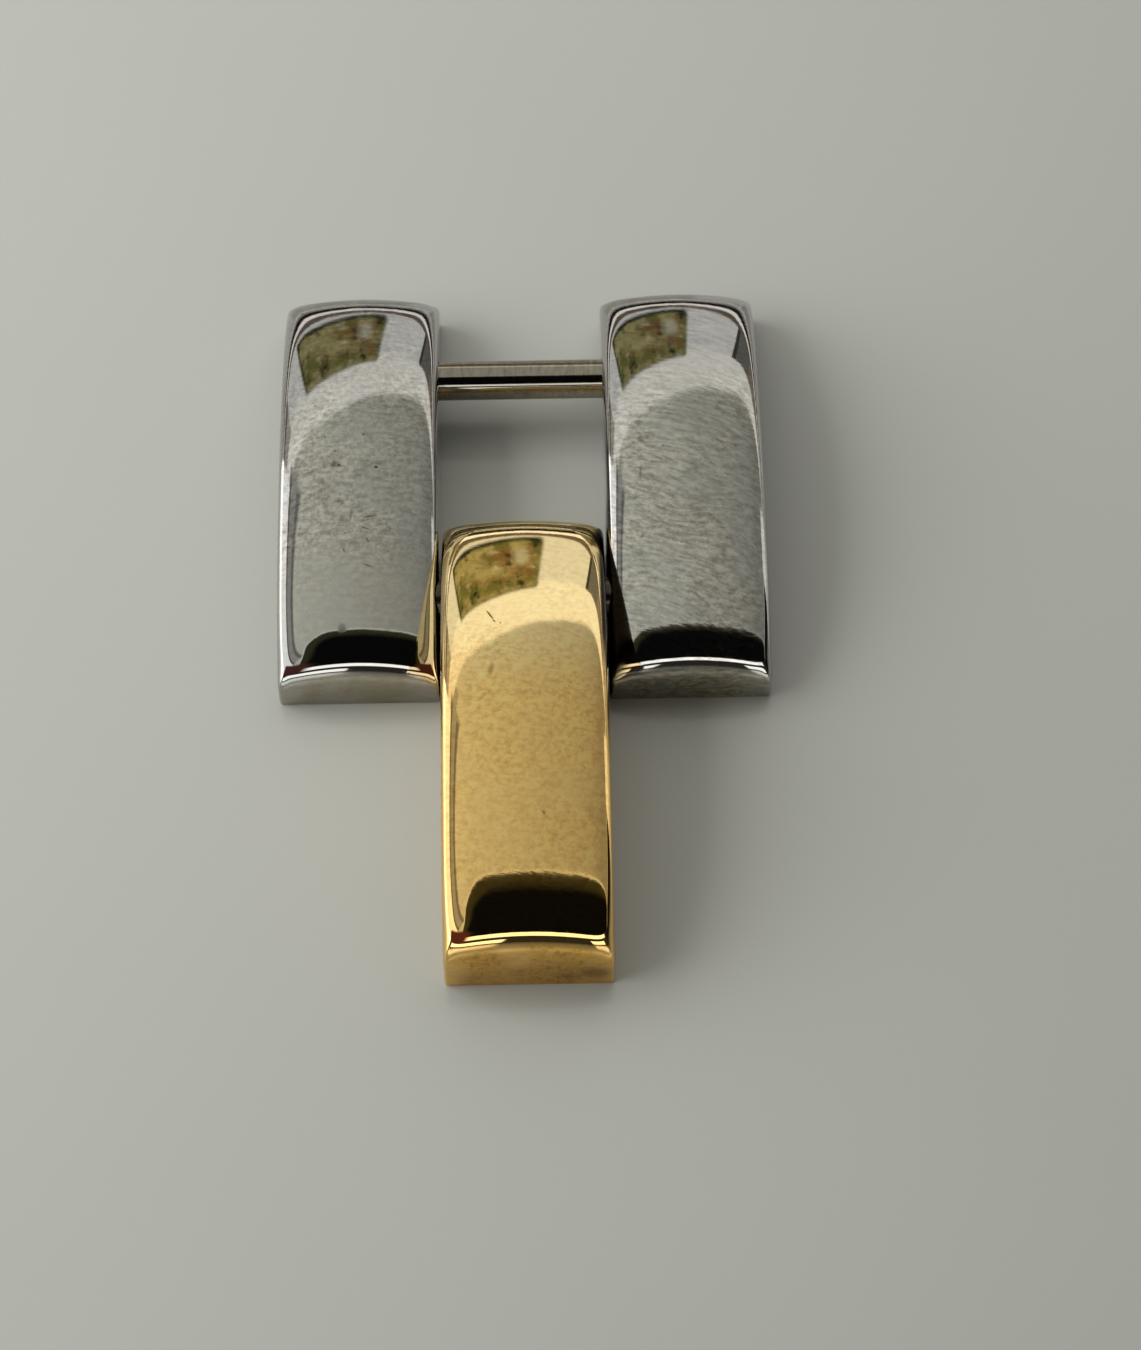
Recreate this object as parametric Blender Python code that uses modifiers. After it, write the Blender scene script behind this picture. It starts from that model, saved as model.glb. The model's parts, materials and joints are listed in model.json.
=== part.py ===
# Removable three-piece link of a two-tone metal watch bracelet.
# Two steel outer links stand either side of a yellow centre link, which turns on a fixed hinge pin.
# A slotted screw across the other end of the outer links takes the next centre link of the bracelet.
# Lengths are in metres. X runs across the bracelet, +Y away from the free end of the centre link,
# and +Z out of the wrist. The origin lies on the underside, at the middle of the link's box.

from math import radians

import bmesh
import bpy
from mathutils import Matrix

# Outer links: crowned bars with upright walls, a flat underside and rounded shoulders
OUTER_WIDTH = 0.0044
OUTER_LENGTH = 0.0129
OUTER_HEIGHT = 0.0031
OUTER_END_HEIGHT = 0.0017
OUTER_END_FOOT = 0.0004
OUTER_END_SHOULDER = 0.0013
OUTER_SIDE_DROP = 0.0005
OUTER_SHOULDER = 0.00075

# Centre link: longer, and prouder at its ends
CENTRE_WIDTH = 0.00445
CENTRE_LENGTH = 0.01345
CENTRE_HEIGHT = 0.0038
CENTRE_END_HEIGHT = 0.0022
CENTRE_END_FOOT = 0.0007
CENTRE_END_SHOULDER = 0.0013
CENTRE_SIDE_DROP = 0.00044
CENTRE_SHOULDER = 0.00075

# Both kinds of bar: the crown's loops as a share of the length, and the crease that keeps the upright
# corners and the rim of the underside crisp
CROWN_STEP = 0.25
CORNER_CREASE = 0.45

# Running room between the centre link's sides and the cheeks of the outer links
CHEEK_CLEARANCE = 0.00007

# Hinge pin and link screw
PIN_DIAMETER = 0.0011
PIN_AXIS_HEIGHT = 0.00145
HINGE_INSET = 0.0024
CENTRE_BORE_INSET = 0.0024
SCREW_INSET = 0.00312
RUNNING_CLEARANCE = 0.00004
SEAT_CLEARANCE = 0.00002
SEAT_DEPTH = 0.0028
END_CLEARANCE = 0.0001
PIN_CHAMFER = 0.00008

SCREW_HEAD_LIP = 0.0001
SCREW_HEAD_LENGTH = 0.0008
SCREW_HEAD_RECESS = 0.00012
SCREW_HEAD_CLEARANCE = 0.00005
SCREW_THREAD_RELIEF = 0.00007
SCREW_THREAD_LENGTH = 0.0022
SLOT_WIDTH = 0.00028
SLOT_DEPTH = 0.00035

# Fineness of the rounded and turned surfaces
SMOOTH_LEVELS = 2
TURNED_STEPS = 32
CUT_OVERSHOOT = 0.0005
MERGE_DISTANCE = 0.000001

# Places worked out from the sizes above
CHEEK_X = CENTRE_WIDTH / 2 + CHEEK_CLEARANCE
OUTER_FACE_X = CHEEK_X + OUTER_WIDTH
HINGE_Y = (CENTRE_LENGTH - OUTER_LENGTH + HINGE_INSET - CENTRE_BORE_INSET) / 2
OUTER_NEAR_Y = HINGE_Y - HINGE_INSET
OUTER_FAR_Y = OUTER_NEAR_Y + OUTER_LENGTH
SCREW_Y = OUTER_FAR_Y - SCREW_INSET
CENTRE_FAR_Y = HINGE_Y + CENTRE_BORE_INSET
CENTRE_MIDDLE_Y = CENTRE_FAR_Y - CENTRE_LENGTH / 2
FREE_BORE_Y = CENTRE_FAR_Y - CENTRE_LENGTH + CENTRE_BORE_INSET

PIN_RADIUS = PIN_DIAMETER / 2
HEAD_RADIUS = PIN_RADIUS + SCREW_HEAD_LIP
THREAD_RADIUS = PIN_RADIUS - SCREW_THREAD_RELIEF


def clear_scene():
    for item in list(bpy.data.objects):
        bpy.data.objects.remove(item, do_unlink=True)


def new_collection(name):
    collection = bpy.data.collections.new(name)
    bpy.context.scene.collection.children.link(collection)
    return collection


def polished_metal(name, colour, roughness):
    material = bpy.data.materials.new(name)
    material.use_nodes = True
    shader = material.node_tree.nodes["Principled BSDF"]
    shader.inputs["Base Color"].default_value = (*colour, 1.0)
    shader.inputs["Metallic"].default_value = 1.0
    shader.inputs["Roughness"].default_value = roughness
    return material


def add_object(name, mesh, collection, location=(0.0, 0.0, 0.0)):
    item = bpy.data.objects.new(name, mesh)
    item.location = location
    collection.objects.link(item)
    return item


def mesh_from(bm, name):
    mesh = bpy.data.meshes.new(name)
    bm.to_mesh(mesh)
    bm.free()
    return mesh


def cut_loop(bm, axis, place):
    """Runs one loop of edges round the cage, square to an axis, at a place along it."""
    point = [0.0, 0.0, 0.0]
    normal = [0.0, 0.0, 0.0]
    point[axis] = place
    normal[axis] = 1.0
    everything = bm.verts[:] + bm.edges[:] + bm.faces[:]
    bmesh.ops.bisect_plane(bm, geom=everything, dist=MERGE_DISTANCE, plane_co=point, plane_no=normal)


def runs_along_corner(edge, width, length):
    """Tells whether an edge of the cage lies between two upright walls, or between a wall and the underside."""
    first, second = (vert.co for vert in edge.verts)
    on_side = min(abs(first.x), abs(second.x)) > width / 2 - MERGE_DISTANCE
    on_end = min(abs(first.y), abs(second.y)) > length / 2 - MERGE_DISTANCE
    on_underside = max(first.z, second.z) < MERGE_DISTANCE
    return on_side + on_end + on_underside == 2


def crowned_bar(name, collection, location, size, end, side_drop, shoulder, material):
    """A bar on its underside, domed along and across, with shoulders rounded by the loops beside each edge.

    The end is its height, the height of its flat foot, and the length of the shoulder above that.
    """
    width, length, height = size
    end_height, end_foot, end_shoulder = end
    shoulder = min(shoulder, end_height / 2, width / 4)

    # Smoothing settles a crown by a third of its fall over one step, so the cage stands that much higher
    settle_along = (2 * CROWN_STEP) ** 2 / 3
    settle_across = side_drop * (1 - 2 * shoulder / width) ** 2 / 3
    rise = (height + settle_across - end_height) / (1 - settle_along)
    crown = end_height + rise

    bm = bmesh.new()
    bmesh.ops.create_cube(bm, size=1.0)
    bmesh.ops.scale(bm, vec=(width, length, crown), verts=bm.verts)
    bmesh.ops.translate(bm, vec=(0.0, 0.0, crown / 2), verts=bm.verts)
    for across in (shoulder - width / 2, 0.0, width / 2 - shoulder):
        cut_loop(bm, 0, across)
    step = CROWN_STEP * length
    for along in (end_shoulder - length / 2, -step, 0.0, step, length / 2 - end_shoulder):
        cut_loop(bm, 1, along)
    cut_loop(bm, 2, crown - shoulder)

    crease = bm.edges.layers.float.new("crease_edge")
    for edge in bm.edges:
        if runs_along_corner(edge, width, length):
            edge[crease] = CORNER_CREASE

    # The crown falls as a parabola to the end faces and to the side walls, and the loop below it falls with it,
    # apart from the end faces, where it marks the foot
    for vert in bm.verts:
        on_end = abs(vert.co.y) > length / 2 - MERGE_DISTANCE
        below_crown = vert.co.z < crown - MERGE_DISTANCE
        if vert.co.z < crown - shoulder - MERGE_DISTANCE:
            continue
        if on_end and below_crown:
            vert.co.z = end_foot
            continue
        fall_along = rise * (2 * vert.co.y / length) ** 2
        fall_across = side_drop * (2 * vert.co.x / width) ** 2
        vert.co.z -= fall_along + fall_across

    mesh = mesh_from(bm, name)
    mesh.shade_smooth()
    mesh.materials.append(material)
    bar = add_object(name, mesh, collection, location)
    rounding = bar.modifiers.new("shoulders", "SUBSURF")
    rounding.levels = SMOOTH_LEVELS
    rounding.render_levels = SMOOTH_LEVELS
    return bar


def turned(name, collection, location, profile, material):
    """A round piece along X. The profile lists (place along X, radius) from its +X end to its -X end."""
    mesh = bpy.data.meshes.new(name)
    points = [(radius, 0.0, along) for along, radius in profile]
    mesh.from_pydata(points, [(i, i + 1) for i in range(len(points) - 1)], [])
    mesh.materials.append(material)
    piece = add_object(name, mesh, collection, location)
    piece.rotation_euler = (0.0, radians(90), 0.0)
    spin = piece.modifiers.new("turning", "SCREW")
    spin.axis = "Z"
    spin.steps = TURNED_STEPS
    spin.render_steps = TURNED_STEPS
    spin.use_merge_vertices = True
    spin.merge_threshold = MERGE_DISTANCE
    spin.use_smooth_shade = True
    return piece


def as_cutter(item):
    item.display_type = "WIRE"
    item.hide_render = True
    return item


def drill(piece, collection, x_from, x_to, y, radius):
    """Cuts a round bore along X, on the pins' height, out of a piece."""
    bm = bmesh.new()
    bmesh.ops.create_cone(
        bm,
        cap_ends=True,
        segments=TURNED_STEPS,
        radius1=radius,
        radius2=radius,
        depth=x_to - x_from,
        matrix=Matrix.Rotation(radians(90), 4, "Y"),
    )
    name = f"{piece.name}_bore_{len(collection.objects)}"
    place = ((x_from + x_to) / 2, y, PIN_AXIS_HEIGHT)
    cut_out(piece, as_cutter(add_object(name, mesh_from(bm, name), collection, place)))


def cut_out(piece, cutter):
    cut = piece.modifiers.new(cutter.name, "BOOLEAN")
    cut.operation = "DIFFERENCE"
    cut.solver = "EXACT"
    cut.object = cutter


def outer_link(side, name, parts, material):
    size = (OUTER_WIDTH, OUTER_LENGTH, OUTER_HEIGHT)
    middle = (side * (CHEEK_X + OUTER_WIDTH / 2), OUTER_NEAR_Y + OUTER_LENGTH / 2, 0.0)
    end = (OUTER_END_HEIGHT, OUTER_END_FOOT, OUTER_END_SHOULDER)
    return crowned_bar(name, parts, middle, size, end, OUTER_SIDE_DROP, OUTER_SHOULDER, material)


def left_outer_link(parts, cutters, material):
    """Plain outside: both bores start at the cheek and stop short of the outer face."""
    link = outer_link(-1, "left_outer_link", parts, material)
    mouth = -CHEEK_X + CUT_OVERSHOOT
    blind_end = -CHEEK_X - SEAT_DEPTH
    drill(link, cutters, blind_end, mouth, HINGE_Y, PIN_RADIUS + SEAT_CLEARANCE)
    drill(link, cutters, blind_end, mouth, SCREW_Y, PIN_RADIUS + RUNNING_CLEARANCE)


def right_outer_link(parts, cutters, material):
    """A blind seat for the hinge pin, and a through bore for the screw with a recess for its head."""
    link = outer_link(1, "right_outer_link", parts, material)
    mouth = CHEEK_X - CUT_OVERSHOOT
    outside = OUTER_FACE_X + CUT_OVERSHOOT
    head_seat = OUTER_FACE_X - SCREW_HEAD_RECESS - SCREW_HEAD_LENGTH - SEAT_CLEARANCE
    drill(link, cutters, mouth, CHEEK_X + SEAT_DEPTH, HINGE_Y, PIN_RADIUS + SEAT_CLEARANCE)
    drill(link, cutters, mouth, outside, SCREW_Y, PIN_RADIUS + RUNNING_CLEARANCE)
    drill(link, cutters, head_seat, outside, SCREW_Y, HEAD_RADIUS + SCREW_HEAD_CLEARANCE)


def centre_link(parts, cutters, material):
    """Bored right through near both ends: one for the hinge pin, one for the next link's screw."""
    size = (CENTRE_WIDTH, CENTRE_LENGTH, CENTRE_HEIGHT)
    link = crowned_bar(
        "centre_link",
        parts,
        (0.0, HINGE_Y, PIN_AXIS_HEIGHT),
        size,
        (CENTRE_END_HEIGHT, CENTRE_END_FOOT, CENTRE_END_SHOULDER),
        CENTRE_SIDE_DROP,
        CENTRE_SHOULDER,
        material,
    )
    # The link's own origin is on the hinge axis, so that it turns about the pin
    link.data.transform(Matrix.Translation((0.0, CENTRE_MIDDLE_Y - HINGE_Y, -PIN_AXIS_HEIGHT)))
    reach = CENTRE_WIDTH / 2 + CUT_OVERSHOOT
    for bore_y in (HINGE_Y, FREE_BORE_Y):
        drill(link, cutters, -reach, reach, bore_y, PIN_RADIUS + RUNNING_CLEARANCE)


def hinge_pin(parts, material):
    """Pressed into the blind seats of the two outer links, which it holds together."""
    reach = CHEEK_X + SEAT_DEPTH - END_CLEARANCE
    profile = [
        (reach, 0.0),
        (reach, PIN_RADIUS - PIN_CHAMFER),
        (reach - PIN_CHAMFER, PIN_RADIUS),
        (PIN_CHAMFER - reach, PIN_RADIUS),
        (-reach, PIN_RADIUS - PIN_CHAMFER),
        (-reach, 0.0),
    ]
    turned("hinge_pin", parts, (0.0, HINGE_Y, PIN_AXIS_HEIGHT), profile, material)


def link_screw(parts, cutters, material):
    """Slotted head in the right link's recess, plain shank across the gap, threaded tip in the left link."""
    head_face = OUTER_FACE_X - SCREW_HEAD_RECESS
    under_head = head_face - SCREW_HEAD_LENGTH
    tip = -CHEEK_X - SEAT_DEPTH + END_CLEARANCE
    thread_start = tip + SCREW_THREAD_LENGTH
    profile = [
        (head_face, 0.0),
        (head_face, HEAD_RADIUS - PIN_CHAMFER),
        (head_face - PIN_CHAMFER, HEAD_RADIUS),
        (under_head, HEAD_RADIUS),
        (under_head, PIN_RADIUS),
        (thread_start + PIN_RADIUS - THREAD_RADIUS, PIN_RADIUS),
        (thread_start, THREAD_RADIUS),
        (tip + PIN_CHAMFER, THREAD_RADIUS),
        (tip, THREAD_RADIUS - PIN_CHAMFER),
        (tip, 0.0),
    ]
    screw = turned("link_screw", parts, (0.0, SCREW_Y, PIN_AXIS_HEIGHT), profile, material)

    bm = bmesh.new()
    bmesh.ops.create_cube(bm, size=1.0)
    slot_size = (SLOT_DEPTH + CUT_OVERSHOOT, SLOT_WIDTH, 2 * HEAD_RADIUS + CUT_OVERSHOOT)
    bmesh.ops.scale(bm, vec=slot_size, verts=bm.verts)
    slot_x = head_face - SLOT_DEPTH + slot_size[0] / 2
    mesh = mesh_from(bm, "screw_slot")
    slot = as_cutter(add_object("screw_slot", mesh, cutters, (slot_x, SCREW_Y, PIN_AXIS_HEIGHT)))
    cut_out(screw, slot)


def main():
    clear_scene()
    parts = new_collection("bracelet_link")
    cutters = new_collection("cutters")
    steel = polished_metal("polished_steel", (0.62, 0.62, 0.61), 0.10)
    gold = polished_metal("polished_yellow_gold", (0.82, 0.60, 0.25), 0.08)
    pin_steel = polished_metal("pin_steel", (0.55, 0.55, 0.54), 0.18)
    left_outer_link(parts, cutters, steel)
    right_outer_link(parts, cutters, steel)
    centre_link(parts, cutters, gold)
    hinge_pin(parts, pin_steel)
    link_screw(parts, cutters, pin_steel)


main()
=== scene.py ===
import json
from math import cos, pi, radians, sin, tau

import bmesh
import bpy
from mathutils import Matrix, Vector


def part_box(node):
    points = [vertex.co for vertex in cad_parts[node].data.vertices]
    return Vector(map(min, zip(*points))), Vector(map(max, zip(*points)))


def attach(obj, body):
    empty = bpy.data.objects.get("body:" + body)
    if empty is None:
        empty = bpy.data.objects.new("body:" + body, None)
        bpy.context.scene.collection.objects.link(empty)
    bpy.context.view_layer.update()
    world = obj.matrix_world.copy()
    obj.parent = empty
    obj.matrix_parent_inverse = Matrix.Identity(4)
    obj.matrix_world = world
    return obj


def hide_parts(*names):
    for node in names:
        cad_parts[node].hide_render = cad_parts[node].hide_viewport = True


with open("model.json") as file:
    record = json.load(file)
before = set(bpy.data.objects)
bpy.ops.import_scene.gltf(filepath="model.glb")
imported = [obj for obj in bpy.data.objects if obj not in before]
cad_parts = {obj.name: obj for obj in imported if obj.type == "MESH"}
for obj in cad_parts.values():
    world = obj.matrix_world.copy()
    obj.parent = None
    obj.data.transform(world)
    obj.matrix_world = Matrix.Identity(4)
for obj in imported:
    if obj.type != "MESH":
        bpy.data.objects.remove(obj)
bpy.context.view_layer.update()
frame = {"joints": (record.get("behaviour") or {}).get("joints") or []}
print("frame loaded")

mm = 0.001
sameSpot = 0.001 * mm       # places closer than this count as one
sharpBend = 32              # degrees: a sharper bend stays a hard edge

# where things are, read from the frame
hingeJoint = next(joint for joint in frame["joints"] if joint["type"] == "hinge")
hingeAxis = Vector(hingeJoint["pos_m"])
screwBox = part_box("link_screw")
screwAxis = (screwBox[0] + screwBox[1]) / 2
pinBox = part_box("hinge_pin")
pinRadius = (pinBox[1].z - pinBox[0].z) / 2
headRadius = (screwBox[1].z - screwBox[0].z) / 2


# helpers for meshes

def keepMesh(name, bm, location=(0.0, 0.0, 0.0)):
    mesh = bpy.data.meshes.new(name)
    bm.to_mesh(mesh)
    bm.free()
    item = bpy.data.objects.new(name, mesh)
    item.location = location
    bpy.context.scene.collection.objects.link(item)
    return item


def smooth(mesh, sharpAngle=sharpBend):
    mesh.shade_smooth()
    mesh.set_sharp_from_angle(angle=radians(sharpAngle))


def cutAway(item, cutter):
    cut = item.modifiers.new("cut", "BOOLEAN")
    cut.operation = "DIFFERENCE"
    cut.solver = "EXACT"
    cut.object = cutter


def applyModifiers(item, cutters, sharpAngle=sharpBend):
    view = bpy.context.evaluated_depsgraph_get()
    mesh = bpy.data.meshes.new_from_object(item.evaluated_get(view))
    item.modifiers.clear()
    old = item.data
    item.data = mesh
    bpy.data.meshes.remove(old)
    smooth(mesh, sharpAngle)
    for cutter in cutters:
        bpy.data.objects.remove(cutter, do_unlink=True)


def cutLoop(bm, axis, place):
    point = Vector()
    normal = Vector()
    point[axis] = place
    normal[axis] = 1.0
    everything = bm.verts[:] + bm.edges[:] + bm.faces[:]
    bmesh.ops.bisect_plane(bm, geom=everything, dist=sameSpot, plane_co=point, plane_no=normal)


def ringAt(along, radiusOf, segments):
    # points round X, at a radius that can change with the angle
    ring = []
    for i in range(segments):
        angle = tau * i / segments
        radius = radiusOf(angle)
        ring.append(Vector((along, radius * cos(angle), radius * sin(angle))))
    return ring


def ringsToItem(name, rings, location):
    # joins equal rings of points into a tube, with a flat cap at each end
    bm = bmesh.new()
    rows = [[bm.verts.new(point) for point in ring] for ring in rings]
    for near, far in zip(rows, rows[1:]):
        count = len(near)
        for i in range(count):
            j = (i + 1) % count
            bm.faces.new((near[i], near[j], far[j], far[i]))
    bm.faces.new(list(reversed(rows[0])))
    bm.faces.new(rows[-1])
    bmesh.ops.recalc_face_normals(bm, faces=bm.faces)
    return keepMesh(name, bm, location)


def turned(name, profile, location, segments):
    # a round piece along X, from a list of (place along X, radius)
    rings = [ringAt(along, lambda angle: radius, segments) for along, radius in profile]
    item = ringsToItem(name, rings, location)
    smooth(item.data)
    return item


def roundedCorner(fromAlong, fromRadius, size, outward, steps=6):
    # quarter of a circle between an end face and a round side, for a turned profile
    points = []
    for i in range(steps + 1):
        angle = radians(90) * i / steps
        along = fromAlong + outward * size * (sin(angle) - 1)
        points.append((along, fromRadius - size * (1 - cos(angle))))
    return points if outward > 0 else list(reversed(points))


# links

outerShape = {
    "endHeight": 1.7 * mm,
    "endFoot": 0.4 * mm,            # the end face is flat up to here
    "endShoulder": 1.3 * mm,
    "sideDrop": 0.5 * mm,           # how much lower the crown is at the side walls
    "shoulder": 0.75 * mm,
    "wallShoulder": 0.45 * mm,      # how far the rounding reaches down the side walls
    "baseShoulder": 0.2 * mm,
    "crownStep": 0.25,              # between the crown's loops, as a share of the length
    "crease": 0.45,                 # keeps the upright corners and the bottom edge crisp
    "levels": 4,
}

centreShape = dict(outerShape, endHeight=2.2 * mm, endFoot=0.7 * mm, sideDrop=0.44 * mm)

boreShape = {
    "seatRoom": 0.02 * mm,
    "runningRoom": 0.04 * mm,
    "seatDepth": 2.8 * mm,
    "headRoom": 0.05 * mm,
    "headDepth": 0.94 * mm,
    "mouth": 0.02 * mm,             # small chamfer where a bore meets a face
    "past": 0.4 * mm,               # how far a cutter stands out of the link
    "segments": 80,
}


def crownedBar(node, shape):
    low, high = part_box(node)
    width, length, height = high - low
    shoulder = shape["shoulder"]
    endHeight = shape["endHeight"]
    # how far smoothing lets the crown settle
    settleAlong = (2 * shape["crownStep"]) ** 2 / 3
    settleAcross = shape["sideDrop"] * (1 - 2 * shoulder / width) ** 2 / 3
    rise = (height + settleAcross - endHeight) / (1 - settleAlong)
    crown = endHeight + rise

    bm = bmesh.new()
    bmesh.ops.create_cube(bm, size=1.0)
    bmesh.ops.scale(bm, vec=(width, length, crown), verts=bm.verts)
    bmesh.ops.translate(bm, vec=(0.0, 0.0, crown / 2), verts=bm.verts)
    for across in (shoulder - width / 2, 0.0, width / 2 - shoulder):
        cutLoop(bm, 0, across)
    step = shape["crownStep"] * length
    endShoulder = shape["endShoulder"]
    for along in (endShoulder - length / 2, -step, 0.0, step, length / 2 - endShoulder):
        cutLoop(bm, 1, along)
    wallTop = crown - shape["wallShoulder"]
    for up in (shape["baseShoulder"], wallTop):
        cutLoop(bm, 2, up)
    crease = bm.edges.layers.float.new("crease_edge")
    for edge in bm.edges:
        first, second = (vert.co for vert in edge.verts)
        onSide = min(abs(first.x), abs(second.x)) > width / 2 - sameSpot
        onEnd = min(abs(first.y), abs(second.y)) > length / 2 - sameSpot
        onBottom = max(first.z, second.z) < sameSpot
        if onSide + onEnd + onBottom == 2:
            edge[crease] = shape["crease"]
    for vert in bm.verts:
        if vert.co.z < wallTop - sameSpot:
            continue
        if vert.co.z < crown - sameSpot and abs(vert.co.y) > length / 2 - sameSpot:
            vert.co.z = shape["endFoot"]
            continue
        vert.co.z -= rise * (2 * vert.co.y / length) ** 2
        vert.co.z -= shape["sideDrop"] * (2 * vert.co.x / width) ** 2

    middle = ((low.x + high.x) / 2, (low.y + high.y) / 2, low.z)
    bar = keepMesh(node + "_polished", bm, middle)
    rounding = bar.modifiers.new("rounding", "SUBSURF")
    rounding.levels = shape["levels"]
    rounding.render_levels = shape["levels"]
    return bar


def drill(bar, axis, xFrom, xTo, radius, flares):
    # flares are the places along X where the bore opens on a face
    mouth = boreShape["mouth"]
    wide = radius + 2 * mouth
    radii = {xFrom: radius, xTo: radius}
    for place in flares:
        inward = 1 if abs(place - xFrom) < abs(place - xTo) else -1
        radii[place + inward * mouth] = radius
        radii[place - inward * mouth] = wide
        radii[xFrom if inward > 0 else xTo] = wide
    profile = [(along, radii[along]) for along in sorted(radii)]
    middle = (0.0, axis.y, axis.z)
    cutter = turned(bar.name + "_cutter", profile, middle, boreShape["segments"])
    cutAway(bar, cutter)
    return cutter


def outerLinks():
    past = boreShape["past"]
    seat = pinRadius + boreShape["seatRoom"]
    running = pinRadius + boreShape["runningRoom"]
    headBore = headRadius + boreShape["headRoom"]
    links = []
    for node, side in (("left_outer_link", -1), ("right_outer_link", 1)):
        low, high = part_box(node)
        cheek = high.x if side < 0 else low.x
        inside = cheek - side * past
        seatSpan = sorted((inside, cheek + side * boreShape["seatDepth"]))
        bar = crownedBar(node, outerShape)
        cutters = [drill(bar, hingeAxis, *seatSpan, seat, [cheek])]
        if side < 0:
            cutters.append(drill(bar, screwAxis, *seatSpan, running, [cheek]))
        else:
            outside = high.x + past
            headSeat = high.x - boreShape["headDepth"]
            cutters.append(drill(bar, screwAxis, inside, outside, running, [cheek]))
            cutters.append(drill(bar, screwAxis, headSeat, outside, headBore, [high.x]))
        applyModifiers(bar, cutters)
        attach(bar, "outer_links")
        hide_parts(node)
        links.append(bar)
    return links


def centreLink():
    low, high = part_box("centre_link")
    past = boreShape["past"]
    running = pinRadius + boreShape["runningRoom"]
    inset = high.y - hingeAxis.y
    freeAxis = Vector((0.0, low.y + inset, hingeAxis.z))
    bar = crownedBar("centre_link", centreShape)
    cutters = [
        drill(bar, axis, low.x - past, high.x + past, running, [low.x, high.x])
        for axis in (hingeAxis, freeAxis)
    ]
    applyModifiers(bar, cutters)
    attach(bar, "centre_link")
    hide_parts("centre_link")
    return bar


leftLink, rightLink = outerLinks()
goldLink = centreLink()
print("links made")


# pin and screw

pinShape = {"edge": 0.08 * mm, "segments": 96}

screwShape = {
    "edge": 0.09 * mm,
    "flare": 0.4,                   # where the shank meets the head, as a share of the edge
    "underEdge": 0.2,               # round the underside of the head, as a share of the edge
    "headLength": 0.8 * mm,
    "slotWidth": 0.28 * mm,
    "slotDepth": 0.35 * mm,
    "slotReach": 3,                 # length of the slot's cutter, in head radii
    "slotFillet": 0.05 * mm,
    "filletSteps": 4,
    "threadLength": 2.2 * mm,
    "pitch": 0.25 * mm,
    "threadDepth": 0.09 * mm,
    "threadRoom": 0.01 * mm,
    "tipShare": 0.86,               # the tip is thinner than the rest of the thread
    "tipTurn": 0.15,                # and this much of its first turn is cut off
    "segments": 96,
    "rowsPerTurn": 14,
    "sharpBend": 28,
}


def hingePin():
    low, high = pinBox
    edge = pinShape["edge"]
    profile = roundedCorner(low.x, pinRadius, edge, -1)
    profile += roundedCorner(high.x, pinRadius, edge, 1)
    middle = (0.0, hingeAxis.y, hingeAxis.z)
    pin = turned("hinge_pin_polished", profile, middle, pinShape["segments"])
    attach(pin, "outer_links")
    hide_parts("hinge_pin")
    return pin


def threadRadius(along, angle, tip, start):
    # a helical groove, with a thinner first turn at the tip, that runs out at the shank
    turns = (along - tip) / screwShape["pitch"]
    groove = abs((turns - angle / tau) % 1.0 - 0.5) * 2
    crest = pinRadius - screwShape["threadRoom"]
    runIn = min(1.0, turns + screwShape["tipTurn"])
    runOut = min(1.0, max(0.0, (start - along) / screwShape["pitch"]))
    depth = screwShape["threadDepth"] * groove * runOut
    tipShare = screwShape["tipShare"]
    return (crest - depth) * (tipShare + (1 - tipShare) * runIn)


def linkScrew():
    low, high = screwBox
    tip = low.x
    underHead = high.x - screwShape["headLength"]
    threadLength = screwShape["threadLength"]
    start = tip + threadLength
    segments = screwShape["segments"]
    rowCount = int(threadLength / screwShape["pitch"] * screwShape["rowsPerTurn"])
    rings = []
    for row in range(rowCount + 1):
        along = tip + threadLength * row / rowCount
        rings.append(ringAt(along, lambda angle: threadRadius(along, angle, tip, start), segments))
    edge = screwShape["edge"]
    flare = edge * screwShape["flare"]
    underEdge = edge * screwShape["underEdge"]
    profile = [
        (start + edge, pinRadius),
        (underHead - edge, pinRadius),
        (underHead, pinRadius + flare),
        (underHead, headRadius - underEdge),
        (underHead + underEdge, headRadius),
    ]
    profile += roundedCorner(high.x, headRadius, edge, 1)
    rings += [ringAt(along, lambda angle: radius, segments) for along, radius in profile]
    screw = ringsToItem("link_screw_polished", rings, (0.0, screwAxis.y, screwAxis.z))

    # the slot has a slightly rounded floor
    slot = bmesh.new()
    slotLength = headRadius * screwShape["slotReach"]
    slotSize = (screwShape["slotDepth"] * 2, screwShape["slotWidth"], slotLength)
    bmesh.ops.create_cube(slot, size=1.0)
    bmesh.ops.scale(slot, vec=slotSize, verts=slot.verts)
    floorEdges = []
    for line in slot.edges:
        first, second = (vert.co for vert in line.verts)
        if first.x < 0 and abs(first.z - second.z) > headRadius:
            floorEdges.append(line)
    bmesh.ops.bevel(
        slot, geom=floorEdges, offset=screwShape["slotFillet"],
        segments=screwShape["filletSteps"], affect="EDGES", profile=0.5,
    )
    cutter = keepMesh("slot_cutter", slot, (high.x, screwAxis.y, screwAxis.z))
    cutAway(screw, cutter)
    applyModifiers(screw, [cutter], screwShape["sharpBend"])
    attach(screw, "link_screw")
    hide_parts("link_screw")
    return screw


pin = hingePin()
screw = linkScrew()
print("pin and screw made")


# helpers for node trees

# where the Mix node keeps its two inputs and its output for each kind of data
mixSockets = {"FLOAT": (2, 3, 0), "RGBA": (6, 7, 2)}


def addNode(tree, kind, **values):
    node = tree.nodes.new(kind)
    for name, value in values.items():
        setattr(node, name, value)
    return node


def join(tree, source, target):
    tree.links.new(source, target)


def setOrJoin(tree, value, socket):
    if isinstance(value, bpy.types.NodeSocket):
        join(tree, value, socket)
    else:
        socket.default_value = value


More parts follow.
